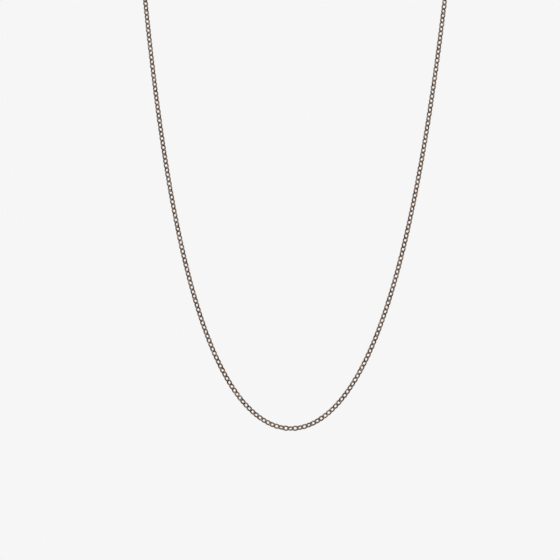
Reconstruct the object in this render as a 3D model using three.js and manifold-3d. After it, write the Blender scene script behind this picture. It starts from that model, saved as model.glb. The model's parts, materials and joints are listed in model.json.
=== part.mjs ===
// Chain necklace: a cable chain of oval wire links, closed at the nape with a lobster clasp.
// Millimetres, +Z up. The origin is on the chain's own line at the middle of the nape, where the
// neck holds the necklace up. The front drape hangs in a vertical plane at y = -neckDepth.
import * as THREE from "three";
import Module from "manifold-3d";
import { mergeVertices } from "three/addons/utils/BufferGeometryUtils.js";

// ---- Driving dimensions -----------------------------------------------------------------

const WIRE = 0.4; // thickness of a link's wire in the link's own plane
const LINK_DEPTH = 0.5; // and through the link
const PITCH = 1.5; // a link's inner length, which is also the step from link to link
const LINK_WIDTH = 1.92; // a link's outer width
const CORNER = 0.42; // how far a link's outer corners are cut back, each way
const TURN = Math.PI / 4; // links stand this far to either side of the drape's plane

const BOTTOM_LINKS = 9; // links in the lowest run, half of them on each side of the middle
const RUN_LINKS = 8; // links in every other run
const DRAPE_RUNS = 12; // runs that hang free, on each side
const NECK_RUNS = 7; // runs that lie on the neck, on each side
const END_LINKS = 4; // single links next to the clasp, on each side

const WELD = 0.02; // how far a link's inner end reaches past the contact inside a run
const PLAY = 0.05; // how far it stays short of the contact where two runs meet and hinge

const DRAPE_SPREAD = 18.75; // the catenary's own length: how wide the drape opens at the bottom
const DRAPE_STRETCH = 1.277; // how much taller the drape is than that catenary
const DRAPE_REACH = 156; // chain length from the middle of the bottom to where it leaves the plane
const NAPE_RISE = 34; // how far the nape lies above the top of the drape
const SIDE_HANDLE = 26; // how strongly the curve carries on upwards over the side of the neck
const NAPE_HANDLE = 30; // how strongly it runs along the nape

const RING_RADIUS = 1.9; // clasp ring and end ring, to the middle of the wire
const RING_WIRE = 0.7;
const RING_PLAY = 0.14; // clearance between a ring and the part of the clasp in it

const CLASP_INNER = 10.6; // from the eye's far wall to the hook's far wall
const EYE_OUTER = 1.45; // radii of the eye and the hook
const EYE_HOLE = 0.8;
const HOOK_OUTER = 3.1;
const HOOK_INNER = 2.2;
const HOOK_THICK = 1.0; // the eye and the hook, which pass through the rings
const CLASP_THICK = 2.0; // the body's cheeks, either side of the trigger's hub
const CHEEK_FROM = -3.4; // where the cheeks begin and end along the clasp
const CHEEK_TO = 0.3;
const OPENING_X = 0.9; // the narrow end of the clasp's opening
const OPENING_RADIUS = 1.2;

const PIVOT = new THREE.Vector3(-1.9, 0, 0.75); // the trigger turns about this, on an axis along y
const PIN_RADIUS = 0.35;
const PIN_CLEARANCE = 0.05;
const HUB_RADIUS = 0.8;
const TRIGGER_THICK = 1.2;
const ARM_REACH = 6.04; // from the pivot to the arm's tip, which is round about the pivot
const HINGE_END = -0.75; // where the cut in the body for the trigger's arm begins
const GATE_FLOOR = 0.2; // height that it is cut down to
const FIT_GAP = 0.08; // clearance between the trigger and the clasp body
const TAB_ROOT = [-1.3, 0.5]; // the thumb tab's foot, from x to x, on the arm's back
const TAB_TIP = [-0.6, 0.2];
const TAB_TOP = 3.1;
const TAB_HEIGHT = [1.7, 1.2]; // from the tab's top down to its foot, at the back and at the front
const TAB_CREST = [-0.3, 3.5]; // x and z that its rounded top bends towards

const SLOT_WIDTH = 1.4; // slot in the body for the trigger's hub and its spring
const SLOT_BACK = 1.05; // how far it reaches behind the pivot
const SLOT_FLOOR = -1.25;
const SPRING_X = -0.75;
const SPRING_RADIUS = 0.4;
const SPRING_WIRE = 0.16;
const SPRING_TURNS = 4;

const ringInner = RING_RADIUS - RING_WIRE / 2;
const hardwareHalf = (4 * ringInner + CLASP_INNER) / 2; // from the nape's middle to the last link
const linksPerSide = BOTTOM_LINKS / 2 + RUN_LINKS * (DRAPE_RUNS + NECK_RUNS) + END_LINKS;
const halfLength = linksPerSide * PITCH; // chain length from the bottom's middle to a ring
const napeReach = halfLength - END_LINKS * PITCH; // where the chain runs straight to the clasp

// ---- Materials --------------------------------------------------------------------------

const chainMetal = new THREE.MeshStandardMaterial({ color: 0x806c5c, roughness: 0.38, metalness: 1 });
const claspMetal = new THREE.MeshStandardMaterial({ color: 0x887463, roughness: 0.32, metalness: 1 });
const steel = new THREE.MeshStandardMaterial({ color: 0x8e8c88, roughness: 0.35, metalness: 1 });

// ---- Solids -----------------------------------------------------------------------------

const wasm = await Module();
wasm.setup();

// A closed three.js geometry as a solid that can be joined and cut.
function solid(geometry) {
  const bare = geometry.index ? geometry.toNonIndexed() : geometry.clone();
  bare.deleteAttribute("normal");
  bare.deleteAttribute("uv");
  const merged = mergeVertices(bare, 1e-4);
  return new wasm.Manifold(
    new wasm.Mesh({
      numProp: 3,
      vertProperties: new Float32Array(merged.attributes.position.array),
      triVerts: new Uint32Array(merged.index.array),
    }),
  );
}

// A solid as a three.js geometry.
function geometryOf(manifold) {
  const { vertProperties, triVerts, numProp } = manifold.getMesh();
  const position = new Float32Array((vertProperties.length / numProp) * 3);
  for (let i = 0; i < position.length; i++) {
    position[i] = vertProperties[Math.floor(i / 3) * numProp + (i % 3)];
  }
  const geometry = new THREE.BufferGeometry();
  geometry.setAttribute("position", new THREE.BufferAttribute(position, 3));
  geometry.setIndex(new THREE.BufferAttribute(new Uint32Array(triVerts), 1));
  geometry.computeVertexNormals();
  return geometry;
}

function named(name, geometry, material) {
  const mesh = new THREE.Mesh(geometry, material);
  mesh.name = name;
  return mesh;
}

// ---- The necklace's line ----------------------------------------------------------------

// Height of the drape above its lowest point, at a distance x from the middle.
const drapeHeight = (x) => DRAPE_STRETCH * DRAPE_SPREAD * (Math.cosh(x / DRAPE_SPREAD) - 1);

// Half the drape: a hanging chain's curve from the middle of the bottom out to halfWidth.
class DrapeCurve extends THREE.Curve {
  constructor(halfWidth) {
    super();
    this.halfWidth = halfWidth;
    this.arcLengthDivisions = 2000;
  }
  getPoint(t, target = new THREE.Vector3()) {
    const x = t * this.halfWidth;
    return target.set(x, 0, drapeHeight(x));
  }
}

// The value between low and high at which rising(value) reaches goal.
function solve(rising, goal, low, high) {
  for (let i = 0; i < 50; i++) {
    const middle = (low + high) / 2;
    if (rising(middle) < goal) low = middle;
    else high = middle;
  }
  return (low + high) / 2;
}

const drapeHalfWidth = solve((w) => new DrapeCurve(w).getLength(), DRAPE_REACH, 30, 70);
const drape = new DrapeCurve(drapeHalfWidth);
const drapeTop = drape.getPoint(1);
const drop = drapeTop.z + NAPE_RISE;

// From the top of the drape over the side of the neck and round to the single links at the nape.
function neckCurve(depth) {
  const start = new THREE.Vector3(drapeTop.x, -depth, -NAPE_RISE);
  const slope = drape.getTangent(1).setLength(SIDE_HANDLE);
  const end = new THREE.Vector3(hardwareHalf + halfLength - napeReach, 0, 0);
  const curve = new THREE.CubicBezierCurve3(
    start,
    start.clone().add(slope),
    end.clone().add(new THREE.Vector3(NAPE_HANDLE, 0, 0)),
    end,
  );
  curve.arcLengthDivisions = 1000;
  return curve;
}

const neckDepth = solve((d) => neckCurve(d).getLength(), napeReach - DRAPE_REACH, 20, 120);
const neck = neckCurve(neckDepth);
const toDrape = new THREE.Vector3(0, -neckDepth, -drop);

// The point at a chain length from the middle of the bottom, on the right-hand side.
function rightPointAt(s) {
  if (s <= DRAPE_REACH) return drape.getPointAt(s / DRAPE_REACH).add(toDrape);
  if (s <= napeReach) return neck.getPointAt((s - DRAPE_REACH) / (napeReach - DRAPE_REACH));
  return new THREE.Vector3(hardwareHalf + halfLength - s, 0, 0);
}

// The same for either side: negative lengths are on the left.
function pointAt(length) {
  const point = rightPointAt(Math.abs(length));
  point.x *= Math.sign(length) || 1;
  return point;
}

// ---- Links ------------------------------------------------------------------------------

// Where each link of the right-hand side lies, from the middle of the bottom to the nape: its
// middle, its direction and the front of the chain, carried along the line without twisting.
function linkPlaces() {
  const places = [];
  const front = new THREE.Vector3(0, -1, 0);
  for (let k = 0; k < linksPerSide; k++) {
    const from = pointAt((k - 0.5) * PITCH);
    const to = pointAt((k + 0.5) * PITCH);
    const along = to.clone().sub(from).normalize();
    front.addScaledVector(along, -front.dot(along)).normalize();
    places.push({ middle: from.add(to).multiplyScalar(0.5), along, front: front.clone() });
  }
  return places;
}

const places = linkPlaces();
const firstNeckLink = Math.floor(BOTTOM_LINKS / 2) + 1 + RUN_LINKS * DRAPE_RUNS;

// How a link stands to the chain's front: its neighbours stand the other way.
const leanOf = (index) => (index % 2 ? TURN : -TURN);

// The turn that brings the last link upright at the nape, so that it passes through a flat ring.
const lastPlace = places[places.length - 1];
const sideways = new THREE.Vector3().crossVectors(lastPlace.along, lastPlace.front);
const frontToUp = Math.atan2(sideways.z, lastPlace.front.z);
const napeTwist = frontToUp - Math.PI / 2 - leanOf(places.length - 1);

// How far the chain has twisted at a link: none on the drape, then evenly up to the nape.
function twistAt(index) {
  const share = (index - firstNeckLink) / (places.length - 1 - firstNeckLink);
  return napeTwist * Math.max(0, share);
}

// The world matrix of link number index, where negative numbers are on the left.
function linkMatrix(index) {
  const { middle, along, front } = places[Math.abs(index)];
  const mirror = new THREE.Vector3(index < 0 ? -1 : 1, 1, 1);
  const lean = leanOf(Math.abs(index)) + twistAt(Math.abs(index));
  const normal = front.clone().applyAxisAngle(along, lean).multiply(mirror);
  const x = along.clone().multiply(mirror);
  const y = new THREE.Vector3().crossVectors(normal, x);
  return new THREE.Matrix4().makeBasis(x, y, normal).setPosition(middle.clone().multiply(mirror));
}

const points = (corners) => corners.map(([x, y]) => new THREE.Vector2(x, y));

// A link's flat outline, between its ends at x = low and x = high, with its corners cut.
function outline(low, high, halfWidth) {
  return points([
    [high, CORNER - halfWidth],
    [high, halfWidth - CORNER],
    [high - CORNER, halfWidth],
    [low + CORNER, halfWidth],
    [low, halfWidth - CORNER],
    [low, CORNER - halfWidth],
    [low + CORNER, -halfWidth],
    [high - CORNER, -halfWidth],
  ]);
}

// The hole in it, which keeps its corners so that the next link has room to swing.
function hole(low, high, halfWidth) {
  return points([
    [high, -halfWidth],
    [high, halfWidth],
    [low, halfWidth],
    [low, -halfWidth],
  ]);
}

// One link in its own frame: x along the chain, z through the link. Each inner end stands
// nearPlay or farPlay beyond its contact with the next link.
function linkGeometry(nearPlay, farPlay) {
  const low = -PITCH / 2 - nearPlay;
  const high = PITCH / 2 + farPlay;
  const shape = new THREE.Shape(outline(low - WIRE, high + WIRE, LINK_WIDTH / 2));
  shape.holes.push(new THREE.Path(hole(low, high, LINK_WIDTH / 2 - WIRE)));
  const link = new THREE.ExtrudeGeometry(shape, { depth: LINK_DEPTH, bevelEnabled: false });
  return link.translate(0, 0, -LINK_DEPTH / 2);
}

// The links from one number to another, joined where they touch. The ends stay free to hinge.
function runGeometry(first, last) {
  const step = Math.sign(last - first) || 1;
  let joined = null;
  for (let index = first; index !== last + step; index += step) {
    const lowest = index === Math.min(first, last);
    const highest = index === Math.max(first, last);
    const nearIsLow = index >= 0;
    const near = nearIsLow ? lowest : highest;
    const far = nearIsLow ? highest : lowest;
    const link = solid(linkGeometry(near ? PLAY : -WELD, far ? PLAY : -WELD)).transform(
      linkMatrix(index).elements,
    );
    joined = joined ? joined.add(link) : link;
  }
  return geometryOf(joined);
}

const necklace = new THREE.Group();
const two = (number) => String(number).padStart(2, "0");

function addRun(name, first, last) {
  necklace.add(named(name, runGeometry(first, last), chainMetal));
}

const bottomSide = Math.floor(BOTTOM_LINKS / 2);
addRun("bottom_run", -bottomSide, bottomSide);

for (const [side, sign] of [["left", -1], ["right", 1]]) {
  let next = bottomSide + 1;
  for (let run = DRAPE_RUNS; run >= 1; run--) {
    addRun(`${side}_drape_${two(run)}`, sign * next, sign * (next + RUN_LINKS - 1));
    next += RUN_LINKS;
  }
  for (let run = 1; run <= NECK_RUNS; run++) {
    addRun(`${side}_neck_${two(run)}`, sign * next, sign * (next + RUN_LINKS - 1));
    next += RUN_LINKS;
  }
  for (let link = 1; link <= END_LINKS; link++) {
    addRun(`${side}_end_link_${link}`, sign * next, sign * next);
    next += 1;
  }
}

// ---- Rings ------------------------------------------------------------------------------

// Both rings lie flat, so that the clasp and the last links stand through them.
function addRing(name, x) {
  const ring = new THREE.TorusGeometry(RING_RADIUS, RING_WIRE / 2, 8, 20);
  const mesh = named(name, ring, claspMetal);
  mesh.position.x = x;
  necklace.add(mesh);
}

const ringMiddle = hardwareHalf - ringInner;
addRing("clasp_ring", -ringMiddle);
addRing("end_ring", ringMiddle);

// ---- Clasp ------------------------------------------------------------------------------

// The clasp lies in the XZ plane. Flat outlines are drawn in x and z and given their thickness
// along y.
function plate(shape, thickness) {
  const settings = { depth: thickness, bevelEnabled: false, curveSegments: 12 };
  const geometry = new THREE.ExtrudeGeometry(shape, settings);
  return geometry.translate(0, 0, -thickness / 2).rotateX(Math.PI / 2);
}

const disc = (x, z, radius) => new THREE.Shape().absarc(x, z, radius, 0, 2 * Math.PI);

// The outline round a small circle on the left and a larger one on the right, both at z = 0.
function teardrop(smallX, smallRadius, largeX, largeRadius) {
  const tangent = Math.acos((smallRadius - largeRadius) / (largeX - smallX));
  return new THREE.Shape()
    .absarc(largeX, 0, largeRadius, -tangent, tangent)
    .absarc(smallX, 0, smallRadius, tangent, 2 * Math.PI - tangent);
}

const eyeX = -ringMiddle + ringInner - RING_PLAY + EYE_HOLE;
const hookX = ringMiddle - ringInner + RING_PLAY - HOOK_INNER;

function box(lowX, highX, lowZ, highZ, thickness) {
  const geometry = new THREE.BoxGeometry(highX - lowX, thickness, highZ - lowZ);
  return geometry.translate((lowX + highX) / 2, 0, (lowZ + highZ) / 2);
}

const outer = teardrop(eyeX, EYE_OUTER, hookX, HOOK_OUTER);
const opening = teardrop(OPENING_X, OPENING_RADIUS, hookX, HOOK_INNER);
const tall = 2 * HOOK_OUTER;

// What lies within a distance of the pivot, right of lowX and above lowZ.
function aroundPivot(radius, lowX, lowZ) {
  return solid(plate(disc(PIVOT.x, PIVOT.z, radius), 2 * CLASP_THICK)).intersect(
    solid(box(lowX, 2 * tall, lowZ, 2 * tall, 2 * CLASP_THICK)),
  );
}

function claspBody() {
  const cheeks = solid(plate(outer, CLASP_THICK)).intersect(
    solid(box(CHEEK_FROM, CHEEK_TO, -tall, tall, 2 * CLASP_THICK)),
  );
  return solid(plate(outer, HOOK_THICK))
    .add(cheeks)
    .subtract(solid(plate(opening, 2 * CLASP_THICK)))
    .subtract(solid(plate(disc(eyeX, 0, EYE_HOLE), 2 * CLASP_THICK)))
    .subtract(aroundPivot(ARM_REACH + FIT_GAP, HINGE_END, GATE_FLOOR))
    .subtract(solid(box(PIVOT.x - SLOT_BACK, OPENING_X, SLOT_FLOOR, tall, SLOT_WIDTH)))
    .subtract(solid(plate(disc(PIVOT.x, PIVOT.z, PIN_RADIUS + PIN_CLEARANCE), 2 * CLASP_THICK)));
}

function claspTrigger() {
  const wall = solid(plate(outer, TRIGGER_THICK)).subtract(solid(plate(opening, CLASP_THICK)));
  const arm = wall.intersect(aroundPivot(ARM_REACH, PIVOT.x + HUB_RADIUS / 2, GATE_FLOOR + FIT_GAP));
  const tab = new THREE.Shape()
    .moveTo(TAB_ROOT[0], TAB_TOP - TAB_HEIGHT[0])
    .lineTo(TAB_ROOT[1], TAB_TOP - TAB_HEIGHT[1])
    .lineTo(TAB_TIP[1], TAB_TOP)
    .quadraticCurveTo(TAB_CREST[0], TAB_CREST[1], TAB_TIP[0], TAB_TOP)
    .lineTo(TAB_ROOT[0], TAB_TOP - TAB_HEIGHT[1]);
  return arm
    .add(solid(plate(disc(PIVOT.x, PIVOT.z, HUB_RADIUS), TRIGGER_THICK)))
    .add(solid(plate(tab, TRIGGER_THICK)))
    .subtract(solid(plate(disc(PIVOT.x, PIVOT.z, PIN_RADIUS + PIN_CLEARANCE), CLASP_THICK)));
}

function triggerPin() {
  return solid(plate(disc(PIVOT.x, PIVOT.z, PIN_RADIUS), CLASP_THICK));
}

// A coil that stands on the slot's floor under the root of the trigger's arm.
class Coil extends THREE.Curve {
  constructor(x, low, high) {
    super();
    Object.assign(this, { x, low, high });
  }
  getPoint(t, target = new THREE.Vector3()) {
    const angle = 2 * Math.PI * SPRING_TURNS * t;
    const z = this.low + (this.high - this.low) * t;
    return target.set(this.x + SPRING_RADIUS * Math.cos(angle), SPRING_RADIUS * Math.sin(angle), z);
  }
}

const springTop = GATE_FLOOR + FIT_GAP - SPRING_WIRE;

function triggerSpring() {
  const wire = new THREE.Shape();
  for (const [x, y] of [[1, 0], [0, 1], [-1, 0], [0, -1]]) {
    const point = [(x * SPRING_WIRE) / 2, (y * SPRING_WIRE) / 2];
    if (x === 1) wire.moveTo(...point);
    else wire.lineTo(...point);
  }
  const path = new Coil(SPRING_X, SLOT_FLOOR + SPRING_WIRE, springTop);
  return new THREE.ExtrudeGeometry(wire, { extrudePath: path, steps: 10 * SPRING_TURNS });
}

necklace.add(named("clasp_body", geometryOf(claspBody()), claspMetal));
necklace.add(named("clasp_trigger", geometryOf(claspTrigger()), claspMetal));
necklace.add(named("trigger_pin", geometryOf(triggerPin()), steel));
necklace.add(named("trigger_spring", triggerSpring(), steel));

export default necklace;
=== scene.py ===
import json
import math
import random

import bpy
import numpy as np
from mathutils import Matrix, Vector


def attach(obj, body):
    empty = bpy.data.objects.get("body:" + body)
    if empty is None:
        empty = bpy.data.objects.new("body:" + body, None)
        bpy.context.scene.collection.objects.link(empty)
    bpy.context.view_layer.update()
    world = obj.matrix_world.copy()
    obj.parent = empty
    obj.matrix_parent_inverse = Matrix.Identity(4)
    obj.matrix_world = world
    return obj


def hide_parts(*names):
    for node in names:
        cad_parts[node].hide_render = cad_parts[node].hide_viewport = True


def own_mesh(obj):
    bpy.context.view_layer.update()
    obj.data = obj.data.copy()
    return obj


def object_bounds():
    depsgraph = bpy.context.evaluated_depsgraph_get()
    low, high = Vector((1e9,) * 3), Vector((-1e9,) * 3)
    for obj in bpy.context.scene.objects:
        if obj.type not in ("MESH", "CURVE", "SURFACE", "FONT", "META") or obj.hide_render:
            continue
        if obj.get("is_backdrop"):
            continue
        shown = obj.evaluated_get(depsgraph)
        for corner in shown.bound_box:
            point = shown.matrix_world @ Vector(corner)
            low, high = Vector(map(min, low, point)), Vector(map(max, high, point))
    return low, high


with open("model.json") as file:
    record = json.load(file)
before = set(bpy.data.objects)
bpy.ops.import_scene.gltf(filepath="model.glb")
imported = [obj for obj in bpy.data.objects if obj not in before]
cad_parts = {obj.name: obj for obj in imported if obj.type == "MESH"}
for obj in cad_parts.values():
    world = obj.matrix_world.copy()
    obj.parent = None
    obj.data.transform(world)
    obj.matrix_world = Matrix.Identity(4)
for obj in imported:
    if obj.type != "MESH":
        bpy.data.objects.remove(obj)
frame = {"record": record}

CAD_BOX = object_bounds()
RECORD = frame["record"]

# ---- Dimensions, in millimetres, as in the CAD source -----------------------------------

MM = 0.001

WIRE = 0.4  # thickness of a link's wire in the link's own plane
LINK_DEPTH = 0.5  # and through the link
PITCH = 1.5  # a link's inner length, which is also the step from link to link
LINK_WIDTH = 1.92  # a link's outer width
TURN = math.pi / 4  # links stand this far to either side of the drape's plane

BOTTOM_LINKS = 9  # links in the lowest run, half of them on each side of the middle
RUN_LINKS = 8  # links in every other run
DRAPE_RUNS = 12  # runs that hang free, on each side
NECK_RUNS = 7  # runs that lie on the neck, on each side
END_LINKS = 4  # single links next to the clasp, on each side

DRAPE_SPREAD = 18.75  # the catenary's own length: how wide the drape opens at the bottom
DRAPE_STRETCH = 1.277  # how much taller the drape is than that catenary
DRAPE_REACH = 156.0  # chain length from the middle of the bottom to where it leaves the plane
NAPE_RISE = 34.0  # how far the nape lies above the top of the drape
SIDE_HANDLE = 26.0  # how strongly the curve carries on upwards over the side of the neck
NAPE_HANDLE = 30.0  # how strongly it runs along the nape

RING_RADIUS = 1.9  # clasp ring and end ring, to the middle of the wire
RING_WIRE = 0.7
RING_PLAY = 0.14  # clearance between a ring and the part of the clasp in it

CLASP_INNER = 10.6  # from the eye's far wall to the hook's far wall
EYE_OUTER = 1.45  # radii of the eye and the hook
EYE_HOLE = 0.8
HOOK_OUTER = 3.1
HOOK_INNER = 2.2
HOOK_THICK = 1.0  # the eye and the hook, which pass through the rings
CLASP_THICK = 2.0  # the body's cheeks, either side of the trigger's hub
CHEEK_FROM = -3.4  # where the cheeks begin and end along the clasp
CHEEK_TO = 0.3
OPENING_X = 0.9  # the narrow end of the clasp's opening
OPENING_RADIUS = 1.2

PIVOT_X = -1.9  # the trigger turns about this point, on an axis along y
PIVOT_Z = 0.75
PIN_RADIUS = 0.35
PIN_CLEARANCE = 0.05
HUB_RADIUS = 0.8
TRIGGER_THICK = 1.2
ARM_REACH = 6.04  # from the pivot to the arm's tip, which is round about the pivot
HINGE_END = -0.75  # where the cut in the body for the trigger's arm begins
GATE_FLOOR = 0.2  # height that it is cut down to
FIT_GAP = 0.08  # clearance between the trigger and the clasp body

SLOT_WIDTH = 1.4  # slot in the body for the trigger's hub and its spring
SLOT_BACK = 1.05  # how far it reaches behind the pivot
SLOT_FLOOR = -1.25
SPRING_X = -0.75
SPRING_RADIUS = 0.4
SPRING_WIRE = 0.16
SPRING_TURNS = 4

RING_INNER = RING_RADIUS - RING_WIRE / 2
HARDWARE_HALF = (4 * RING_INNER + CLASP_INNER) / 2  # from the nape's middle to the last link
LINKS_PER_SIDE = BOTTOM_LINKS / 2 + RUN_LINKS * (DRAPE_RUNS + NECK_RUNS) + END_LINKS
HALF_LENGTH = LINKS_PER_SIDE * PITCH  # chain length from the bottom's middle to a ring
NAPE_REACH = HALF_LENGTH - END_LINKS * PITCH  # where the chain runs straight to the clasp
RING_MIDDLE = HARDWARE_HALF - RING_INNER
EYE_X = -RING_MIDDLE + RING_INNER - RING_PLAY + EYE_HOLE
HOOK_X = RING_MIDDLE - RING_INNER + RING_PLAY - HOOK_INNER
BOTTOM_SIDE = BOTTOM_LINKS // 2

BODY_OF = {node: body for body, nodes in RECORD["behaviour"]["bodies"].items() for node in nodes}


# ---- The necklace's line ----------------------------------------------------------------

DRAPE_SEARCH = 60.0  # more than the drape's half width, which its points are worked out over
DRAPE_POINTS = 6001
NECK_POINTS = 3001
NECK_DEPTHS = (20.0, 120.0)  # the depth that suits the chain's length is sought between these
DEPTH_HALVINGS = 50


def running_length(points):
    """The length of a row of points from its start to each of them."""
    steps = np.linalg.norm(np.diff(points, axis=0), axis=1)
    return np.concatenate([[0.0], np.cumsum(steps)])


def drape_points():
    """Half the drape from the middle of the bottom, in its own plane, and its chain lengths."""
    x = np.linspace(0.0, DRAPE_SEARCH, DRAPE_POINTS)
    z = DRAPE_STRETCH * DRAPE_SPREAD * (np.cosh(x / DRAPE_SPREAD) - 1)
    points = np.stack([x, 0 * x, z], 1)
    lengths = running_length(points)
    inside = lengths < DRAPE_REACH
    top = [np.interp(DRAPE_REACH, lengths, points[:, i]) for i in range(3)]
    return np.vstack([points[inside], top])


def neck_points(depth, drape):
    """From the top of the drape over the side of the neck to the single links at the nape."""
    start = np.array([drape[-1][0], -depth, -NAPE_RISE])
    slope = drape[-1] - drape[-2]
    end = np.array([HARDWARE_HALF + HALF_LENGTH - NAPE_REACH, 0.0, 0.0])
    second = start + slope / np.linalg.norm(slope) * SIDE_HANDLE
    third = end + np.array([NAPE_HANDLE, 0.0, 0.0])
    t = np.linspace(0.0, 1.0, NECK_POINTS)[:, None]
    u = 1 - t
    return u**3 * start + 3 * u**2 * t * second + 3 * u * t**2 * third + t**3 * end


def chain_line():
    """Chain lengths and points of the whole right-hand side, from the bottom to the ring."""
    drape = drape_points()
    low, high = NECK_DEPTHS
    for _ in range(DEPTH_HALVINGS):
        depth = (low + high) / 2
        if running_length(neck_points(depth, drape))[-1] < NAPE_REACH - DRAPE_REACH:
            low = depth
        else:
            high = depth
    drop = drape[-1][2] + NAPE_RISE
    hanging = drape + np.array([0.0, -depth, -drop])
    last = np.array([[HARDWARE_HALF, 0.0, 0.0]])
    points = np.vstack([hanging, neck_points(depth, drape)[1:], last])
    return running_length(points), points


LINE_LENGTHS, LINE_POINTS = chain_line()
NECK_DEPTH = -LINE_POINTS[0][1]
DROP = -LINE_POINTS[0][2]


def point_at(length):
    """The point at a chain length from the bottom, on the left-hand side if it is negative."""
    x, y, z = (np.interp(abs(length), LINE_LENGTHS, LINE_POINTS[:, i]) for i in range(3))
    return Vector((math.copysign(x, length), y, z))


def link_places():
    """Each right-hand link's middle, direction and front, carried along without twisting."""
    places = []
    front = Vector((0, -1, 0))
    for k in range(math.ceil(LINKS_PER_SIDE)):
        start, end = point_at((k - 0.5) * PITCH), point_at((k + 0.5) * PITCH)
        along = (end - start).normalized()
        front = (front - along * front.dot(along)).normalized()
        places.append(((start + end) / 2, along, front.copy()))
    return places


PLACES = link_places()
LAST_LINK = len(PLACES) - 1
FIRST_NECK_LINK = BOTTOM_SIDE + 1 + RUN_LINKS * DRAPE_RUNS


def lean_of(index):
    """How far a link leans: each stands a quarter turn from its neighbours."""
    return TURN if index % 2 else -TURN


def nape_twist():
    """The turn that brings the last link upright at the nape."""
    _, along, front = PLACES[LAST_LINK]
    front_to_up = math.atan2(along.cross(front).z, front.z)
    return front_to_up - math.pi / 2 - lean_of(LAST_LINK)


NAPE_TWIST = nape_twist()


def twist_at(index):
    """A link's part of the nape's twist: none on the drape, then more and more."""
    return NAPE_TWIST * max(0.0, (index - FIRST_NECK_LINK) / (LAST_LINK - FIRST_NECK_LINK))


def link_matrix(index, extra_twist=0.0):
    """A link's place: x along the chain, z through the link."""
    middle, along, front = PLACES[abs(index)]
    mirror = Vector((-1 if index < 0 else 1, 1, 1))
    lean = lean_of(abs(index)) + twist_at(abs(index))
    normal = (Matrix.Rotation(lean, 3, along) @ front) * mirror
    x = along * mirror
    normal = Matrix.Rotation(extra_twist * mirror.x, 3, x) @ normal
    y = normal.cross(x)
    turned = Matrix((x, y, normal)).transposed()
    return turned, middle * mirror


# ---- Mesh building ----------------------------------------------------------------------


def smooth_step(low, high, value):
    """0 below low and 1 above high, with a smooth rise between them."""
    t = np.clip((value - low) / (high - low), 0, 1)
    return t * t * (3 - 2 * t)


def grid_faces(rows, columns, first=0, closed_rows=True):
    """Quads of a grid of points that closes on itself across, and along if closed_rows."""
    faces = []
    for i in range(rows if closed_rows else rows - 1):
        here, there = first + i * columns, first + (i + 1) % rows * columns
        for j in range(columns):
            k = (j + 1) % columns
            faces.append((here + j, there + j, there + k, here + k))
    return faces


OVAL_POINTS = 4001


def even_oval(half_length, half_width, power, count):
    """Evenly spaced points of a superellipse, with their outward directions."""
    t = np.linspace(0, 2 * math.pi, OVAL_POINTS)
    x = half_length * np.sign(np.cos(t)) * np.abs(np.cos(t)) ** (2 / power)
    y = half_width * np.sign(np.sin(t)) * np.abs(np.sin(t)) ** (2 / power)
    lengths = running_length(np.stack([x, y], 1))
    places = np.linspace(0, lengths[-1], count, endpoint=False)
    points = np.stack([np.interp(places, lengths, x), np.interp(places, lengths, y)], 1)
    tangent = np.roll(points, -1, 0) - np.roll(points, 1, 0)
    outward = np.stack([tangent[:, 1], -tangent[:, 0]], 1)
    return points, outward / np.linalg.norm(outward, axis=1)[:, None]


def inner_share(angle):
    """How far each side of a wire faces the middle of its link or ring, from 0 to 1."""
    return 0.5 - 0.5 * np.cos(angle)[None, :]


LINK_ROWS = 48  # sections round a link
LINK_COLUMNS = 14  # points in each section
OVAL_POWER = 2.0
HINGE_PLAY = 0.075  # how far an inner end stands clear of the contact where two runs hinge
LINK_ENDS = (0.5, 0.95)  # between these shares of half its length a link's side becomes its end
END_WEAR = 0.15  # share of the wire's depth that is worn off at the ends
SIDE_SWELL = 0.05  # how much thicker the wire is at the sides
SEAM_SPAN = 0.16  # the soldered seam, as a share of half the link's length
SEAM_SIDE = 0.5  # beyond this share of half its width, on one side
SEAM_SWELL = 0.09
SEAM_MARK = 0.25  # how worn the seam is
OUTER_MARK = 0.3  # how far the outside of an end is lightened, where its inside is 1: wear, and painted light where links cross


def link_shape(rng, near_play, far_play):
    """One wire link in its own frame, in millimetres: points, and how far each is lightened by wear and
    by painted light where links cross.

    Its inner ends stand near_play and far_play beyond their contact with the next link.
    """
    radius = WIRE / 2
    half_length = (near_play + PITCH + far_play) / 2 + radius
    shift = (far_play - near_play) / 2
    half_width = (LINK_WIDTH - WIRE) / 2
    centre, outward = even_oval(half_length, half_width, OVAL_POWER, LINK_ROWS)
    angle = np.linspace(0, 2 * math.pi, LINK_COLUMNS, endpoint=False)
    seam_side = rng.choice((-1, 1))
    along = centre[:, 0] / half_length
    across = centre[:, 1] / half_width * seam_side
    seam = np.exp(-((along / SEAM_SPAN) ** 2)) * (across > SEAM_SIDE)
    ends = smooth_step(*LINK_ENDS, np.abs(along))[:, None]
    thick = radius * (1 + SEAM_SWELL * seam) * (1 + SIDE_SWELL * (1 - ends[:, 0]))
    in_plane = np.cos(angle)[None, :] * thick[:, None]
    flatness = LINK_DEPTH / WIRE * (1 - END_WEAR * ends)
    through = np.sin(angle)[None, :] * thick[:, None] * flatness
    # Lightened ends, most on the inside where links rub and cross: real wear, and painted light that
    # lifts the shade of the crossing.
    wear_and_painted_light = ends * (OUTER_MARK + (1 - OUTER_MARK) * inner_share(angle))
    wear_and_painted_light = wear_and_painted_light + SEAM_MARK * seam[:, None] * (1 - ends)
    points = np.stack(
        [
            centre[:, None, 0] + outward[:, None, 0] * in_plane + shift,
            centre[:, None, 1] + outward[:, None, 1] * in_plane,
            through,
        ],
        2,
    )
    return points.reshape(-1, 3), np.clip(wear_and_painted_light, 0, 1).reshape(-1)


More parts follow.
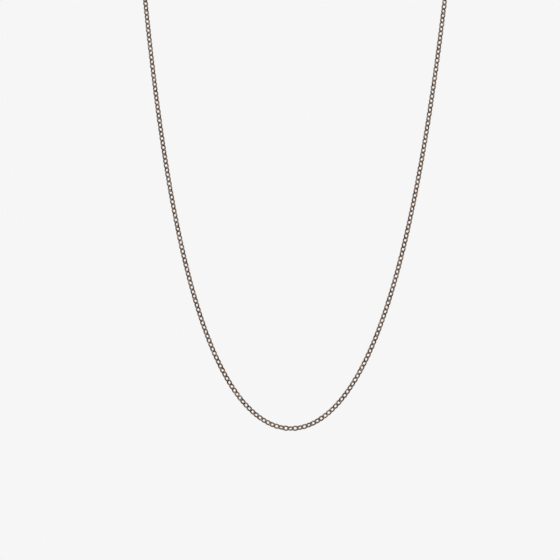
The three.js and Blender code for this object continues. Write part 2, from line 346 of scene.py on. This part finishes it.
def new_piece(name, points, faces, material, attributes):
    """A smooth mesh object in metres, from points in millimetres."""
    mesh = bpy.data.meshes.new(name)
    mesh.from_pydata((np.asarray(points) * MM).tolist(), [], faces)
    mesh.polygons.foreach_set("use_smooth", [True] * len(mesh.polygons))
    for attribute, values in attributes.items():
        made = mesh.attributes.new(attribute, "FLOAT", "POINT")
        made.data.foreach_set("value", np.asarray(values, np.float32))
    mesh.materials.append(material)
    mesh.update()
    piece = bpy.data.objects.new(name, mesh)
    bpy.context.scene.collection.objects.link(piece)
    return piece


def put_on(piece, node):
    """The piece stands for a CAD node and rides on its body."""
    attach(piece, BODY_OF[node])
    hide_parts(node)


# ---- Materials --------------------------------------------------------------------------

# A Mix node has sockets for every kind of value, and several of them share a name.
MIX_SHARE = 0
MIX_NUMBERS = (2, 3)
MIX_COLOURS = (6, 7)
MIX_NUMBER_OUT = 0
MIX_COLOUR_OUT = 2


class Shader:
    """A material's node tree, with short ways to add nodes and join them."""

    def __init__(self, name):
        self.material = bpy.data.materials.new(name)
        self.material.use_nodes = True
        self.tree = self.material.node_tree
        self.surface = self.tree.nodes["Principled BSDF"]

    def add(self, kind, inputs=None, **settings):
        """A new node with some of its settings and inputs."""
        node = self.tree.nodes.new(kind)
        for key, value in settings.items():
            setattr(node, key, value)
        for key, value in (inputs or {}).items():
            self.feed(node.inputs[key], value)
        return node

    def feed(self, socket, value):
        """Gives a socket a value, or joins it to another node's output."""
        if isinstance(value, bpy.types.NodeSocket):
            self.tree.links.new(value, socket)
        else:
            socket.default_value = value

    def math(self, operation, *values, clamp=False):
        node = self.add("ShaderNodeMath", operation=operation, use_clamp=clamp)
        for socket, value in zip(node.inputs, values):
            self.feed(socket, value)
        return node.outputs[0]

    def blend(self, share, first, second):
        """Between two colours."""
        node = self.add("ShaderNodeMix", data_type="RGBA")
        self.feed(node.inputs[MIX_SHARE], share)
        self.feed(node.inputs[MIX_COLOURS[0]], first)
        self.feed(node.inputs[MIX_COLOURS[1]], second)
        return node.outputs[MIX_COLOUR_OUT]

    def lerp(self, share, first, second):
        """Between two numbers."""
        node = self.add("ShaderNodeMix", data_type="FLOAT")
        self.feed(node.inputs[MIX_SHARE], share)
        self.feed(node.inputs[MIX_NUMBERS[0]], first)
        self.feed(node.inputs[MIX_NUMBERS[1]], second)
        return node.outputs[MIX_NUMBER_OUT]

    def noise(self, scale, detail=3.0, stretch=(1, 1, 1)):
        place = self.add("ShaderNodeTexCoord").outputs["Object"]
        moved = self.add("ShaderNodeMapping", {"Vector": place, "Scale": stretch})
        inputs = {"Vector": moved.outputs[0], "Scale": scale, "Detail": detail}
        return self.add("ShaderNodeTexNoise", inputs).outputs[0]

    def attribute(self, name):
        return self.add("ShaderNodeAttribute", attribute_name=name).outputs["Fac"]


CLOUD_SCALE = 700.0
SCRATCH_SCALE = 2500.0
SCRATCH_STRETCH = (1.0, 9.0, 1.0)
MOTTLE = 0.5  # how far the fine noise moves the edge of a mark
TONE_SHARE = 0.16  # how far a link's own tone moves it
MARK_SOFTNESS = 0.1
SCRATCH_ROUGHNESS = 0.12
SCRATCH_HEIGHT = 0.35  # of the scratches in the bump, where the fine noise has 1
METAL_BUMP = 0.02  # depth of the bump, in millimetres


def antique_metal(name, polished, warm, wear_and_painted_shading_colour, bright_rough, dark_rough, speckle):
    """Metal of two clouded tones, with a third laid on by a per-point attribute: worn metal with painted
    light on the chain, dark patina with painted shade on the clasp and rings.
    """
    shader = Shader(name)
    cloud = shader.noise(CLOUD_SCALE)
    fine = shader.noise(speckle, detail=5.0)
    scratch = shader.noise(SCRATCH_SCALE, detail=2.0, stretch=SCRATCH_STRETCH)
    # This attribute holds real wear and patina, with painted light on the links and painted shade on the
    # clasp and rings.
    wear_and_painted_shading = shader.attribute("wear_and_painted_shading")
    tone = shader.attribute("tone")
    mottle = shader.math("MULTIPLY_ADD", fine, MOTTLE, -MOTTLE / 2)
    depth = shader.math("ADD", wear_and_painted_shading, mottle)
    depth = shader.math("MULTIPLY_ADD", tone, TONE_SHARE, depth)
    depth = shader.math("MAXIMUM", depth, 0.0)
    share = shader.math("SMOOTH_MIN", depth, 1.0, MARK_SOFTNESS, clamp=True)
    body = shader.blend(cloud, polished, warm)
    shader.feed(shader.surface.inputs["Base Color"], shader.blend(share, body, wear_and_painted_shading_colour))
    rough = shader.lerp(share, bright_rough, dark_rough)
    rough = shader.math("MULTIPLY_ADD", scratch, SCRATCH_ROUGHNESS, rough)
    shader.feed(shader.surface.inputs["Roughness"], rough)
    shader.surface.inputs["Metallic"].default_value = 1.0
    height = shader.math("MULTIPLY_ADD", scratch, SCRATCH_HEIGHT, fine)
    inputs = {"Height": height, "Strength": 0.25, "Distance": METAL_BUMP * MM}
    bump = shader.add("ShaderNodeBump", inputs)
    shader.feed(shader.surface.inputs["Normal"], bump.outputs[0])
    return shader.material


CHAIN_METAL = antique_metal(
    "antique_chain_metal",
    polished=(0.220, 0.150, 0.108, 1),
    warm=(0.175, 0.116, 0.083, 1),
    # bare metal on the links' ends, lighter than wear alone, as painted light in the shade where links
    # cross
    wear_and_painted_shading_colour=(0.80, 0.585, 0.44, 1),
    bright_rough=0.26,
    dark_rough=0.5,
    speckle=9000.0,
)
CLASP_METAL = antique_metal(
    "antique_clasp_metal",
    polished=(0.30, 0.215, 0.155, 1),
    warm=(0.235, 0.162, 0.113, 1),
    # dark patina, laid on also as painted shade in the clasp's hollows and on its rings
    wear_and_painted_shading_colour=(0.085, 0.057, 0.041, 1),
    bright_rough=0.2,
    dark_rough=0.48,
    speckle=5200.0,
)


STEEL_TONES = (0.56, 0.55, 0.53, 1), (0.42, 0.41, 0.40, 1)
STEEL_LINES_SCALE = 3200.0
STEEL_LINES_STRETCH = (12.0, 1.0, 1.0)
STEEL_CLOUD_SCALE = 1500.0
STEEL_ROUGHNESS = (0.25, 0.2)  # what the lines add, and what is there without them
STEEL_BUMP = 0.01


def spring_steel():
    """Drawn steel with fine lines along it."""
    shader = Shader("spring_steel")
    lines = shader.noise(STEEL_LINES_SCALE, stretch=STEEL_LINES_STRETCH)
    cloud = shader.noise(STEEL_CLOUD_SCALE)
    colour = shader.blend(cloud, *STEEL_TONES)
    shader.feed(shader.surface.inputs["Base Color"], colour)
    shader.surface.inputs["Metallic"].default_value = 1.0
    rough = shader.math("MULTIPLY_ADD", lines, *STEEL_ROUGHNESS)
    shader.feed(shader.surface.inputs["Roughness"], rough)
    inputs = {"Height": lines, "Strength": 0.2, "Distance": STEEL_BUMP * MM}
    bump = shader.add("ShaderNodeBump", inputs)
    shader.feed(shader.surface.inputs["Normal"], bump.outputs[0])
    return shader.material


STEEL = spring_steel()

# ---- Chain ------------------------------------------------------------------------------

LINK_RNG = random.Random(11)
LINK_JITTER = math.radians(2.5)  # the most that a link is turned from its even place
FRONT_TWIST = math.radians(-6)
TWISTED_LINKS = 3.5  # links from the middle of the bottom over which the twist dies away


def front_twist(index):
    """A slight turn of the whole chain round its own line, strongest at the bottom."""
    return FRONT_TWIST * math.exp(-((index / TWISTED_LINKS) ** 2))


def links_piece(name, node, indices):
    """The separate links that a CAD node stands for, as one piece with room to hinge at its ends."""
    nearest, farthest = min(map(abs, indices)), max(map(abs, indices))
    points, faces, marks, tones = [], [], [], []
    for index in indices:
        near = HINGE_PLAY if abs(index) == nearest > 0 else 0.0
        far = HINGE_PLAY if abs(index) == farthest else 0.0
        shape, wear_and_painted_light = link_shape(LINK_RNG, near, far)
        twist = front_twist(index) + LINK_RNG.uniform(-LINK_JITTER, LINK_JITTER)
        turned, middle = link_matrix(index, twist)
        faces += grid_faces(LINK_ROWS, LINK_COLUMNS, first=len(points) * len(shape))
        points.append(shape @ np.array(turned).T + np.array(middle))
        marks.append(wear_and_painted_light)
        tones.append(np.full(len(shape), LINK_RNG.uniform(-1, 1)))
    attributes = {"wear_and_painted_shading": np.concatenate(marks), "tone": np.concatenate(tones)}
    piece = new_piece(name, np.vstack(points), faces, CHAIN_METAL, attributes)
    put_on(piece, node)


def make_chain():
    """All the links, from the bottom up, with one piece for each CAD node."""
    links_piece("bottom_run_links", "bottom_run", range(-BOTTOM_SIDE, BOTTOM_SIDE + 1))
    for side, sign in (("left", -1), ("right", 1)):
        next_link = BOTTOM_SIDE + 1
        runs = [f"{side}_drape_{run:02d}" for run in range(DRAPE_RUNS, 0, -1)]
        runs += [f"{side}_neck_{run:02d}" for run in range(1, NECK_RUNS + 1)]
        for node in runs:
            members = range(next_link, next_link + RUN_LINKS)
            links_piece(f"{node}_links", node, [sign * k for k in members])
            next_link += RUN_LINKS
        for number in range(1, END_LINKS + 1):
            node = f"{side}_end_link_{number}"
            links_piece(f"{node}_wire", node, [sign * next_link])
            next_link += 1


make_chain()

# ---- Rings ------------------------------------------------------------------------------

RING_ROWS = 96
RING_COLUMNS = 24
RING_SEAM_SPAN = 0.07  # in radians round the ring
RING_SEAM_SWELL = 0.05
RING_CONTACTS = (0.75, 1.0)  # between these shares of its radius along x a ring touches its neighbours, where it takes painted shade
# Dark oxide and painted shade on a ring: on its inner side, and more where its neighbours touch it
RING_INNER_SHADE = 0.45
RING_CONTACT_SHADE = 0.7
RING_SEAM_MARK = 0.35
CLASP_RING_SEAM = math.radians(110)
END_RING_SEAM = math.radians(-70)


def make_ring(name, node, x, seam_angle):
    """A closed jump ring, lying flat, with its soldered seam."""
    around = np.linspace(0, 2 * math.pi, RING_ROWS, endpoint=False)
    angle = np.linspace(0, 2 * math.pi, RING_COLUMNS, endpoint=False)
    outward = np.stack([np.cos(around), np.sin(around), 0 * around], 1)
    from_seam = np.angle(np.exp(1j * (around - seam_angle)))
    seam = np.exp(-((from_seam / RING_SEAM_SPAN) ** 2))
    thick = RING_WIRE / 2 * (1 + RING_SEAM_SWELL * seam)
    reach = RING_RADIUS + np.cos(angle)[None, :] * thick[:, None]
    height = np.sin(angle)[None, :] * thick[:, None]
    points = outward[:, None, :] * reach[:, :, None]
    points[:, :, 2] = height
    points[:, :, 0] += x
    ends = smooth_step(*RING_CONTACTS, np.abs(np.cos(around)))[:, None]
    inner = inner_share(angle)
    # Painted shade, with some dark oxide, on the inner side and at the contacts; the seam is a dark
    # solder joint.
    wear_and_painted_shading = np.maximum(RING_INNER_SHADE * inner, RING_CONTACT_SHADE * ends * inner)
    wear_and_painted_shading = wear_and_painted_shading + RING_SEAM_MARK * seam[:, None]
    attributes = {"wear_and_painted_shading": wear_and_painted_shading.reshape(-1), "tone": np.zeros(wear_and_painted_shading.size)}
    faces = grid_faces(RING_ROWS, RING_COLUMNS)
    piece = new_piece(name, points.reshape(-1, 3), faces, CLASP_METAL, attributes)
    put_on(piece, node)


make_ring("clasp_ring_wire", "clasp_ring", -RING_MIDDLE, CLASP_RING_SEAM)
make_ring("end_ring_wire", "end_ring", RING_MIDDLE, END_RING_SEAM)

# ---- Shapes as distances ----------------------------------------------------------------
# A shape is a function of x, y and z that is negative inside. Its skin becomes a mesh.


def smooth_min(a, b, soft):
    """Two shapes joined, with a fillet about as wide as soft."""
    h = np.clip(0.5 + 0.5 * (b - a) / soft, 0, 1)
    return b * (1 - h) + a * h - soft * h * (1 - h)


def smooth_max(a, b, soft):
    """What two shapes share, with the edge rounded in the same way."""
    return -smooth_min(-a, -b, soft)


def disc(x, z, middle_x, middle_z, radius):
    return np.hypot(x - middle_x, z - middle_z) - radius


def teardrop(x, z, start, start_radius, end, end_radius):
    """Round a small circle at start and a larger one at end, two points in x and z."""
    across, up = end[0] - start[0], end[1] - start[1]
    length = math.hypot(across, up)
    along = ((x - start[0]) * across + (z - start[1]) * up) / length
    aside = np.abs((x - start[0]) * up - (z - start[1]) * across) / length
    b = (start_radius - end_radius) / length
    a = math.sqrt(1 - b * b)
    k = a * along - b * aside
    side = a * aside + b * along - start_radius
    near = np.hypot(aside, along) - start_radius
    far = np.hypot(aside, along - length) - end_radius
    return np.where(k < 0, near, np.where(k > a * length, far, side))


def block(x, z, low_x, high_x, low_z, high_z):
    return np.maximum(np.maximum(low_x - x, x - high_x), np.maximum(low_z - z, z - high_z))


def thickened(flat, y, half, rounding):
    """A flat outline given a thickness, with rounded edges."""
    a, b = flat + rounding, np.abs(y) - half + rounding
    return np.minimum(np.maximum(a, b), 0) + np.hypot(np.maximum(a, 0), np.maximum(b, 0)) - rounding


CAST_ROUNDING = 0.34  # of the casting's outer edges
OPENING_FILLET = 0.42
EYE_FILLET = 0.3
CUT_FILLET = 0.1  # of edges that are sawn or fitted
CHEEK_OUTSIDE = 0.9  # how far the cheeks' swell runs out past them, and in from their ends
CHEEK_INSIDE = 0.5
LEVER_ROUNDING = 0.2
LEVER_PIN_GAP = 0.02
HUB_FILLET = 0.12


def clasp_outer(x, z):
    return teardrop(x, z, (EYE_X, 0), EYE_OUTER, (HOOK_X, 0), HOOK_OUTER)


def clasp_opening(x, z):
    return teardrop(x, z, (OPENING_X, 0), OPENING_RADIUS, (HOOK_X, 0), HOOK_INNER)


def gate(x, z, reach, low_x, low_z):
    """What lies within reach of the pivot, right of low_x and above low_z."""
    return np.maximum(disc(x, z, PIVOT_X, PIVOT_Z, reach), np.maximum(low_x - x, low_z - z))


def clasp_body(x, y, z):
    """The casting: eye, cheeks and hook, cut out for the trigger, its arm and its spring."""
    rise = smooth_step(CHEEK_FROM - CHEEK_OUTSIDE, CHEEK_FROM + CHEEK_INSIDE, x)
    fall = smooth_step(CHEEK_TO - CHEEK_INSIDE, CHEEK_TO + CHEEK_OUTSIDE, x)
    swell = rise * (1 - fall)
    half = (HOOK_THICK + (CLASP_THICK - HOOK_THICK) * swell) / 2
    shape = thickened(clasp_outer(x, z), y, half, CAST_ROUNDING)
    shape = smooth_max(shape, -clasp_opening(x, z), OPENING_FILLET)
    shape = smooth_max(shape, -disc(x, z, EYE_X, 0, EYE_HOLE), EYE_FILLET)
    gap = gate(x, z, ARM_REACH + FIT_GAP, HINGE_END, GATE_FLOOR)
    shape = smooth_max(shape, -gap, CUT_FILLET)
    slot = block(x, z, PIVOT_X - SLOT_BACK, OPENING_X, SLOT_FLOOR, 2 * HOOK_OUTER)
    slot = np.maximum(slot, np.abs(y) - SLOT_WIDTH / 2)
    shape = smooth_max(shape, -slot, CUT_FILLET)
    return np.maximum(shape, -disc(x, z, PIVOT_X, PIVOT_Z, PIN_RADIUS + PIN_CLEARANCE))


TAB_FOOT = (-0.5, 1.55)  # the thumb tab, from this circle to the next, in x and z
TAB_FOOT_RADIUS = 0.72
TAB_END = (-0.2, 2.85)
TAB_END_RADIUS = 0.34
TAB_FILLET = 0.3
TAB_TOP = 3.4  # clear above the tab
GROOVE_DEPTH = 0.07
GROOVE_STEP = 0.26
GROOVES_FROM = (2.1, 2.3)  # heights between which they begin, on the tab's back
GROOVES_BEHIND = -0.2


def tab_grooves(x, z):
    """How deep the grip on the tab's back is cut at a place."""
    ridges = GROOVE_DEPTH * np.abs(np.sin(z * math.pi / GROOVE_STEP))
    return ridges * smooth_step(*GROOVES_FROM, z) * (x < GROOVES_BEHIND)


def clasp_trigger(x, y, z):
    """The lever: hub, arm and thumb tab."""
    wall = smooth_max(clasp_outer(x, z), -clasp_opening(x, z), CUT_FILLET)
    arm = np.maximum(wall, gate(x, z, ARM_REACH, PIVOT_X + HUB_RADIUS / 2, GATE_FLOOR + FIT_GAP))
    flat = smooth_min(arm, disc(x, z, PIVOT_X, PIVOT_Z, HUB_RADIUS), HUB_FILLET)
    tab = teardrop(x, z, TAB_FOOT, TAB_FOOT_RADIUS, TAB_END, TAB_END_RADIUS)
    flat = smooth_min(flat, np.maximum(tab, -clasp_opening(x, z)), TAB_FILLET)
    shape = thickened(flat + tab_grooves(x, z), y, TRIGGER_THICK / 2, LEVER_ROUNDING)
    return np.maximum(shape, -disc(x, z, PIVOT_X, PIVOT_Z, PIN_RADIUS + LEVER_PIN_GAP))


def cell_edges(value):
    """For each cell that the surface crosses, the mean of its crossings along the cell's edges."""
    cells = tuple(n - 1 for n in value.shape)
    total, count = np.zeros(cells + (3,)), np.zeros(cells)
    spans = [slice(0, n) for n in cells]
    shifted = [slice(1, n + 1) for n in cells]
    for axis in range(3):
        one, two = (a for a in range(3) if a != axis)
        for i in (0, 1):
            for j in (0, 1):
                near = [spans[0], spans[1], spans[2]]
                near[one] = shifted[one] if i else spans[one]
                near[two] = shifted[two] if j else spans[two]
                far = list(near)
                far[axis] = shifted[axis]
                a, b = value[tuple(near)], value[tuple(far)]
                crossed = (a < 0) != (b < 0)
                place = np.zeros(cells + (3,))
                place[..., axis] = np.where(crossed, a / np.where(crossed, a - b, 1), 0)
                place[..., one] += i
                place[..., two] += j
                total += place * crossed[..., None]
                count += crossed
    return total, count


def skin(shape, low, high, step):
    """Points and quads of a shape's surface: one point in each cell that it crosses."""
    axes = [np.arange(a, b + step, step) for a, b in zip(low, high)]
    value = shape(*np.meshgrid(*axes, indexing="ij"))
    total, count = cell_edges(value)
    used = count > 0
    number = -np.ones(used.shape, int)
    number[used] = np.arange(used.sum())
    cell = np.argwhere(used)
    points = (cell + total[used] / count[used][:, None]) * step + np.array([a[0] for a in axes])
    faces = []
    for axis in range(3):
        one, two = (axis + 1) % 3, (axis + 2) % 3
        inner = [slice(1, -1)] * 3
        inner[axis] = slice(0, -1)
        ahead = list(inner)
        ahead[axis] = slice(1, None)
        a, b = value[tuple(inner)] < 0, value[tuple(ahead)] < 0
        for rising in (False, True):
            crossed = np.argwhere((a & ~b) if rising else (b & ~a))
            crossed[:, one] += 1
            crossed[:, two] += 1
            corners = []
            for back_one, back_two in ((1, 1), (0, 1), (0, 0), (1, 0)):
                at = crossed.copy()
                at[:, one] -= back_one
                at[:, two] -= back_two
                corners.append(number[at[:, 0], at[:, 1], at[:, 2]])
            quads = np.stack(corners if rising else corners[::-1], 1)
            faces += quads.tolist()
    return points, faces


def slope_of(shape, points, reach):
    """The direction in which each point leaves the shape fastest, over a short reach."""
    slope = np.zeros_like(points)
    for axis in range(3):
        step = np.zeros(3)
        step[axis] = reach
        slope[:, axis] = shape(*(points + step).T) - shape(*(points - step).T)
    return slope / np.maximum(np.linalg.norm(slope, axis=1), 1e-9)[:, None]


SETTLING_ROUNDS = 3  # times that the skin's points are moved on to the surface
MARK_REACH = 0.35  # how far from the surface hollows and edges are felt for
FLAT_MARK = 0.28
# how strongly hollows take the dark tone: patina together with painted shade
HOLLOW_SHADE = 1.1
EDGE_MARK = 0.5


def cast_piece(name, node, shape, low, high, step):
    """A cast part: the skin of a shape, with dark patina and painted shade where it is hollow, and
    polished at its edges.
    """
    points, faces = skin(shape, low, high, step)
    for _ in range(SETTLING_ROUNDS):
        points -= slope_of(shape, points, step / 4) * shape(*points.T)[:, None]
    outward = slope_of(shape, points, step) * MARK_REACH
    # Painted shade with patina, deeper the more closed in a point is; edges are polished by wear.
    room = shape(*(points + outward).T) / MARK_REACH
    hollow_shade = np.clip(1 - room, 0, 1)
    edge = np.clip(shape(*(points - outward).T) / MARK_REACH + 1, 0, 1)
    wear_and_painted_shading = np.clip(FLAT_MARK + HOLLOW_SHADE * hollow_shade - EDGE_MARK * edge, 0, 1)
    attributes = {"wear_and_painted_shading": wear_and_painted_shading, "tone": np.zeros(len(points))}
    piece = new_piece(name, points, faces, CLASP_METAL, attributes)
    put_on(piece, node)


CLASP_CELL = 0.055
MARGIN = 0.3


def clasp_box(low_x, high_x, half_y, low_z, high_z):
    """The lowest and highest corners of a box with some room round what it is given."""
    low = (low_x - MARGIN, -half_y - MARGIN, low_z - MARGIN)
    return low, (high_x + MARGIN, half_y + MARGIN, high_z + MARGIN)


def make_casting():
    box = clasp_box(EYE_X - EYE_OUTER, HOOK_X + HOOK_OUTER, CLASP_THICK / 2, -HOOK_OUTER, HOOK_OUTER)
    cast_piece("clasp_casting", "clasp_body", clasp_body, *box, CLASP_CELL)


def make_lever():
    low_x, high_x = PIVOT_X - HUB_RADIUS, PIVOT_X + ARM_REACH
    box = clasp_box(low_x, high_x, TRIGGER_THICK / 2, PIVOT_Z - HUB_RADIUS, TAB_TOP)
    cast_piece("clasp_lever", "clasp_trigger", clasp_trigger, *box, CLASP_CELL)


make_casting()
make_lever()

# ---- Pin and spring ---------------------------------------------------------------------

PIN_COLUMNS = 40
PIN_HEAD_ROWS = 8
PIN_DOME = 0.09  # how far a head stands out at its middle


def make_pin():
    """The rivet that the trigger turns on, with a slightly domed head at each end."""
    half = CLASP_THICK / 2
    rise = np.linspace(0, math.pi / 2, PIN_HEAD_ROWS + 1)
    head = [(PIN_RADIUS * math.sin(t), half + PIN_DOME * math.cos(t)) for t in rise[1:]]
    profile = [(r, -h) for r, h in head] + [(r, h) for r, h in reversed(head)]
    angle = np.linspace(0, 2 * math.pi, PIN_COLUMNS, endpoint=False)
    points = []
    for radius, y in profile:
        for t in angle:
            points.append((PIVOT_X + radius * math.cos(t), y, PIVOT_Z + radius * math.sin(t)))
    faces = grid_faces(len(profile), PIN_COLUMNS, closed_rows=False)
    for y, first, step in ((-half - PIN_DOME, 0, 1), (half + PIN_DOME, len(points) - PIN_COLUMNS, -1)):
        middle = len(points)
        points.append((PIVOT_X, y, PIVOT_Z))
        for j in range(PIN_COLUMNS):
            pair = (first + j, first + (j + 1) % PIN_COLUMNS)
            faces.append((middle, *pair[::step]))
    attributes = {"wear_and_painted_shading": np.zeros(len(points)), "tone": np.zeros(len(points))}
    piece = new_piece("clasp_rivet", points, faces, STEEL, attributes)
    put_on(piece, "trigger_pin")


SPRING_ROWS = 200
SPRING_COLUMNS = 12
SPRING_END_TURNS = 1  # closed up, half a turn at each end
SPRING_EASE = 0.12  # how much of the smooth rise lies past each end
SPRING_SEAT = 0.02
SPRING_TIP = 0.004  # share of the wire that tapers at each end
SPRING_TIP_AREA = 0.3  # what the taper leaves of its section


def make_spring():
    """The coil under the root of the trigger's arm, with its end turns closed up."""
    bottom = SLOT_FLOOR + SPRING_WIRE / 2 + SPRING_SEAT
    top = GATE_FLOOR + FIT_GAP - SPRING_WIRE
    t = np.linspace(0, 1, SPRING_ROWS)
    angle = 2 * math.pi * (SPRING_TURNS + SPRING_END_TURNS) * t
    rise = smooth_step(-SPRING_EASE, 1 + SPRING_EASE, t)
    rise = (rise - rise[0]) / (rise[-1] - rise[0])
    centre = np.stack(
        [
            SPRING_X + SPRING_RADIUS * np.cos(angle),
            SPRING_RADIUS * np.sin(angle),
            bottom + (top - bottom) * rise,
        ],
        1,
    )
    tangent = np.gradient(centre, axis=0)
    tangent /= np.linalg.norm(tangent, axis=1)[:, None]
    outward = np.stack([np.cos(angle), np.sin(angle), 0 * angle], 1)
    upward = np.cross(outward, tangent)
    turn = np.linspace(0, 2 * math.pi, SPRING_COLUMNS, endpoint=False)
    area = np.clip(np.minimum(t, 1 - t) / SPRING_TIP, SPRING_TIP_AREA, 1)
    radius = SPRING_WIRE / 2 * np.sqrt(area)
    ring = outward[:, None] * np.cos(turn)[None, :, None] + upward[:, None] * np.sin(turn)[None, :, None]
    points = (centre[:, None] + ring * radius[:, None, None]).reshape(-1, 3)
    faces = grid_faces(SPRING_ROWS, SPRING_COLUMNS, closed_rows=False)
    faces.append(tuple(range(SPRING_COLUMNS)))
    faces.append(tuple(range(len(points) - 1, len(points) - SPRING_COLUMNS - 1, -1)))
    attributes = {"wear_and_painted_shading": np.zeros(len(points)), "tone": np.zeros(len(points))}
    piece = new_piece("clasp_coil", points, faces, STEEL, attributes)
    put_on(piece, "trigger_spring")
    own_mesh(piece)


make_pin()
make_spring()

# ---- Floor, light and camera ------------------------------------------------------------

PALE = 0.9216
FLOOR_DROP = 0.35  # metres from the lowest link down to the floor
FLOOR_RADIUS = 9.0
FLOOR_RINGS = 8
FLOOR_COLUMNS = 96
FLOOR_GLOW = 0.2


def grey(value):
    return (value, value, value, 1)


def camera_sees(tree, seen, otherwise):
    """A colour that is plain to the camera and another to the light that falls on the object."""
    path = tree.nodes.new("ShaderNodeLightPath")
    mix = tree.nodes.new("ShaderNodeMix")
    mix.data_type = "RGBA"
    tree.links.new(path.outputs["Is Camera Ray"], mix.inputs[MIX_SHARE])
    if isinstance(otherwise, bpy.types.NodeSocket):
        tree.links.new(otherwise, mix.inputs[MIX_COLOURS[0]])
    else:
        mix.inputs[MIX_COLOURS[0]].default_value = otherwise
    mix.inputs[MIX_COLOURS[1]].default_value = seen
    return mix.outputs[MIX_COLOUR_OUT]


def make_floor():
    """A plain pale floor, far below the hanging chain and wide enough to reach the horizon."""
    angle = np.linspace(0, 2 * math.pi, FLOOR_COLUMNS, endpoint=False)
    height = CAD_BOX[0].z - FLOOR_DROP
    points = [(0.0, 0.0, height)]
    for i in range(1, FLOOR_RINGS + 1):
        radius = FLOOR_RADIUS * (i / FLOOR_RINGS) ** 2
        points += [(radius * math.cos(t), radius * math.sin(t), height) for t in angle]
    faces = [(0, 1 + j, 1 + (j + 1) % FLOOR_COLUMNS) for j in range(FLOOR_COLUMNS)]
    faces += grid_faces(FLOOR_RINGS, FLOOR_COLUMNS, first=1, closed_rows=False)
    mesh = bpy.data.meshes.new("floor")
    mesh.from_pydata(points, [], faces)
    material = bpy.data.materials.new("pale_floor")
    material.use_nodes = True
    tree = material.node_tree
    tree.nodes.clear()
    glow = tree.nodes.new("ShaderNodeEmission")
    colour = camera_sees(tree, grey(PALE), grey(FLOOR_GLOW))
    tree.links.new(colour, glow.inputs["Color"])
    out = tree.nodes.new("ShaderNodeOutputMaterial")
    tree.links.new(glow.outputs[0], out.inputs["Surface"])
    mesh.materials.append(material)
    floor = bpy.data.objects.new("floor", mesh)
    bpy.context.scene.collection.objects.link(floor)
    floor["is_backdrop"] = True


SOFT_FROM = (-0.3, -0.85, 0.45)  # the direction that most of the soft light comes from
DIM_SIDE = 0.10  # strength of the light from behind, and from that direction
BRIGHT_SIDE = 1.1
DIM_FACING = -0.6  # cosines of the angle to it where the one ends and the other is reached
BRIGHT_FACING = 1.0


def make_world():
    """Soft light that comes mostly from in front and above."""
    world = bpy.data.worlds.new("studio")
    bpy.context.scene.world = world
    world.use_nodes = True
    tree = world.node_tree
    background = tree.nodes["Background"]
    place = tree.nodes.new("ShaderNodeTexCoord")
    facing = tree.nodes.new("ShaderNodeVectorMath")
    facing.operation = "DOT_PRODUCT"
    tree.links.new(place.outputs["Generated"], facing.inputs[0])
    facing.inputs[1].default_value = Vector(SOFT_FROM).normalized()
    ramp = tree.nodes.new("ShaderNodeMapRange")
    ramp.interpolation_type = "SMOOTHSTEP"
    tree.links.new(facing.outputs["Value"], ramp.inputs["Value"])
    ramp.inputs["From Min"].default_value = DIM_FACING
    ramp.inputs["From Max"].default_value = BRIGHT_FACING
    ramp.inputs["To Min"].default_value = DIM_SIDE
    ramp.inputs["To Max"].default_value = BRIGHT_SIDE
    light = tree.nodes.new("ShaderNodeCombineColor")
    for socket in light.inputs[:3]:
        tree.links.new(ramp.outputs["Result"], socket)
    colour = camera_sees(tree, grey(PALE), light.outputs[0])
    tree.links.new(colour, background.inputs["Color"])
    background.inputs["Strength"].default_value = 1.0


# Each softbox's place in metres, and its power in watts.
SOFTBOX_SIZE = 0.5
SOFTBOXES = {
    "key_light": ((-0.55, -0.75, 0.45), 3.0),
    "fill_light": ((0.8, -0.35, 0.1), 1.2),
    "back_light": ((0.3, 0.8, 0.5), 2.0),
}


def softbox(name, place, target, power):
    """A square light that faces the target and isn't seen itself."""
    light = bpy.data.lights.new(name, "AREA")
    light.shape = "SQUARE"
    light.size = SOFTBOX_SIZE
    light.energy = power
    lamp = bpy.data.objects.new(name, light)
    lamp.location = place
    lamp.rotation_mode = "QUATERNION"
    lamp.rotation_quaternion = (Vector(target) - Vector(place)).to_track_quat("-Z", "Y")
    lamp.visible_camera = False
    bpy.context.scene.collection.objects.link(lamp)


def make_lights():
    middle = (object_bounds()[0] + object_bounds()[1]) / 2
    for name, (place, power) in SOFTBOXES.items():
        softbox(name, place, middle, power)


LENS = 120.0
SENSOR = 36.0
CAMERA_DISTANCE = 0.6  # metres
CAMERA_RISE = math.radians(6)  # how far the camera looks up
CAMERA_ROLL = math.radians(0.61)
TARGET_X = -3.87  # what the camera looks at, in millimetres
TARGET_ABOVE_BOTTOM = 47.56
NEAREST_SEEN = 0.01
FARTHEST_SEEN = 50


def make_camera():
    """The camera in front of the drape, a little below the middle of what it sees."""
    data = bpy.data.cameras.new("camera")
    data.sensor_width = SENSOR
    data.lens = LENS
    data.clip_start = NEAREST_SEEN
    data.clip_end = FARTHEST_SEEN
    camera = bpy.data.objects.new("camera", data)
    target = Vector((TARGET_X, -NECK_DEPTH, -DROP + TARGET_ABOVE_BOTTOM)) * MM
    sight = Vector((0, math.cos(CAMERA_RISE), math.sin(CAMERA_RISE)))
    camera.location = target - sight * CAMERA_DISTANCE
    level = sight.to_track_quat("-Z", "Y").to_matrix()
    camera.rotation_mode = "QUATERNION"
    camera.rotation_quaternion = (level @ Matrix.Rotation(CAMERA_ROLL, 3, "Z")).to_quaternion()
    bpy.context.scene.collection.objects.link(camera)
    bpy.context.scene.camera = camera


make_floor()
make_world()
make_lights()
make_camera()
bpy.context.scene.view_settings.view_transform = "Standard"
